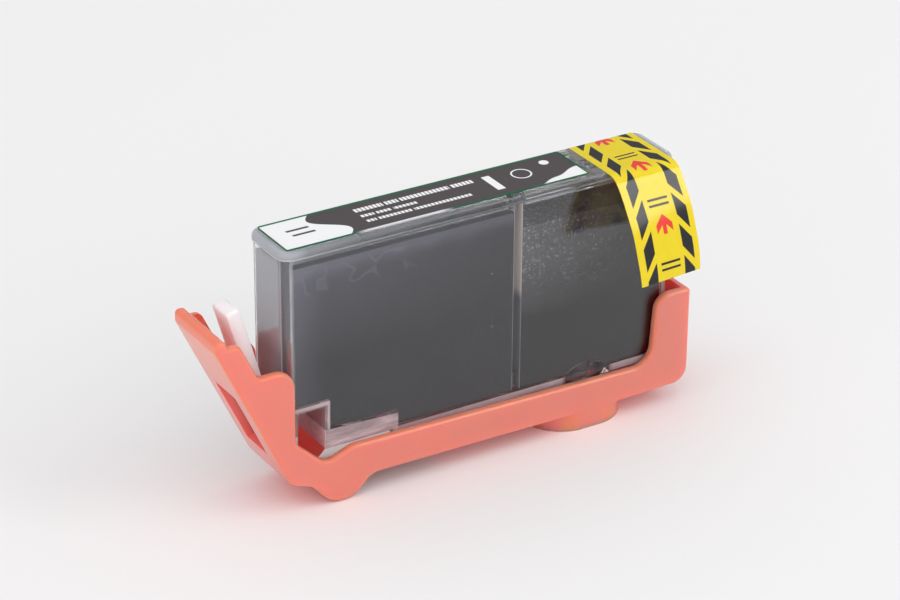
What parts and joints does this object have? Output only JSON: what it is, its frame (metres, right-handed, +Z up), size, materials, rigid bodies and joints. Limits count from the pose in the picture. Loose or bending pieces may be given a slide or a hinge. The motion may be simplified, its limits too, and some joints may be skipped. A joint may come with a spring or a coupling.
{
  "type": "inkjet ink cartridge",
  "caption": "Clear inkjet ink tank with a sprung latch lever, top label and yellow pull tape, clipped in an open orange transport guard with an outlet seal.",
  "frame": {"origin": "centre of the flat underside of the guard's outlet boss, on the ground, on the axis of the ink outlet", "axes": "+X along the tank away from the latch lever, +Y towards the far side of the picture, +Z up out of the lid"},
  "size_m": [0.0801, 0.0213, 0.0412],
  "materials": {
    "tank_clear": "clear moulded plastic, slightly hazy",
    "lid_clear": "clear moulded plastic, slightly hazy",
    "ink": "black liquid",
    "foam_damp": "ink-soaked foam, speckled",
    "foam_wet": "ink-soaked foam, dark",
    "wick": "compressed fibre, wet",
    "plug": "translucent stopper",
    "label_paper": "coated, semi-gloss",
    "label_dark": "printed",
    "label_green": "printed",
    "label_white": "printed",
    "tape_yellow": "glossy film",
    "tape_black": "printed",
    "tape_red": "printed",
    "board_white": "pale solder mask",
    "contact_gold": "plated",
    "resin_milky": "moulded drop",
    "led_white": "clear lens",
    "guard_orange": "satin moulded plastic",
    "seal_rubber": "soft, matte"
  },
  "bodies": {
    "root": {"tank": "tank_clear", "lid": "lid_clear", "ink_fill": "ink", "foam_upper": "foam_damp", "foam_lower": "foam_wet", "outlet_wick": "wick", "fill_plug": "plug", "label": "label_paper", "label_field": "label_dark", "label_rule": "label_green", "label_bars": "label_white", "pull_tape": "tape_yellow", "tape_chevrons": "tape_black", "tape_arrows": "tape_red", "tape_bars": "tape_black", "chip_board": "board_white", "chip_contacts": "contact_gold", "chip_resin": "resin_milky", "chip_led": "led_white", "guard": "guard_orange", "guard_seal": "seal_rubber"}
  },
  "joints": []
}
